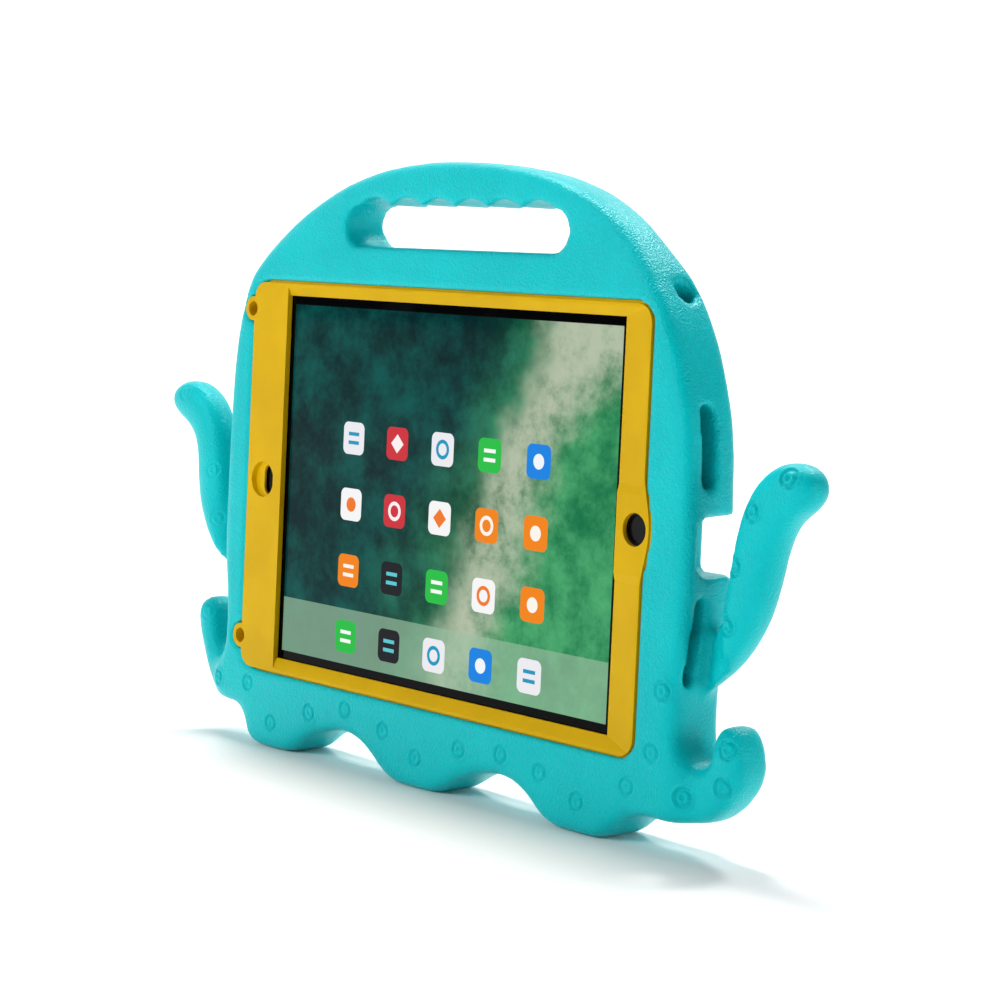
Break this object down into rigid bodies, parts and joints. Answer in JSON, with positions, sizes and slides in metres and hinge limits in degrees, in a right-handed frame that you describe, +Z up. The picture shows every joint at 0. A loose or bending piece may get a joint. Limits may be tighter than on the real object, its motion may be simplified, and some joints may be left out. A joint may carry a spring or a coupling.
{
  "type": "kids tablet case",
  "caption": "Octopus-shaped foam tablet case with a handle slot, raised arms, corner hooks and a yellow screen frame, holding a tablet upright.",
  "frame": {"origin": "middle of the bounding box at the bottom of the feet", "axes": "+Z up, the screen faces -Y, +X to the right seen from the front, along the span of the arms"},
  "size_m": [0.3836, 0.027, 0.2516],
  "materials": {
    "teal_foam": "matte closed-cell foam with a fine leathery grain",
    "yellow_plastic": "satin moulded plastic",
    "silver_aluminium": "fine bead-blasted metal",
    "black_glass": "polished, with a black border",
    "lit_display": "lit screen with a plain graphic",
    "black_key": "smooth black",
    "key_ring_metal": "dark brushed ring",
    "silver_key": "fine metal",
    "battery_wrap": "black film",
    "green_board": "circuit board with shield cans",
    "black_plastic": "matte black",
    "socket_metal": "pressed metal",
    "lens_glass": "polished"
  },
  "bodies": {
    "case": {"foam_body": "teal_foam", "screen_frame": "yellow_plastic", "tablet_housing": "silver_aluminium", "cover_glass": "black_glass", "display_panel": "lit_display", "home_ring": "key_ring_metal", "battery_left": "battery_wrap", "battery_right": "battery_wrap", "logic_board": "green_board", "speaker_lower": "black_plastic", "speaker_upper": "black_plastic", "charge_socket": "socket_metal", "headphone_socket": "black_plastic", "front_camera": "black_plastic", "rear_camera": "black_plastic", "rear_lens_cover": "lens_glass"},
    "home_key": {"home_key": "black_key"},
    "power_key": {"power_key": "silver_key"},
    "volume_up_key": {"volume_up_key": "silver_key"},
    "volume_down_key": {"volume_down_key": "silver_key"}
  },
  "joints": [
    {"name": "home_press", "type": "slide", "parent": "case", "child": "home_key", "axis": [0, 1, 0], "range_m": [0, 0.0003], "stiffness_N_per_m": 400},
    {"name": "power_press", "type": "slide", "parent": "case", "child": "power_key", "axis": [1, 0, 0], "range_m": [0, 0.0003], "stiffness_N_per_m": 400},
    {"name": "volume_up_press", "type": "slide", "parent": "case", "child": "volume_up_key", "axis": [0, 0, -1], "range_m": [0, 0.0003], "stiffness_N_per_m": 400},
    {"name": "volume_down_press", "type": "slide", "parent": "case", "child": "volume_down_key", "axis": [0, 0, -1], "range_m": [0, 0.0003], "stiffness_N_per_m": 400}
  ]
}
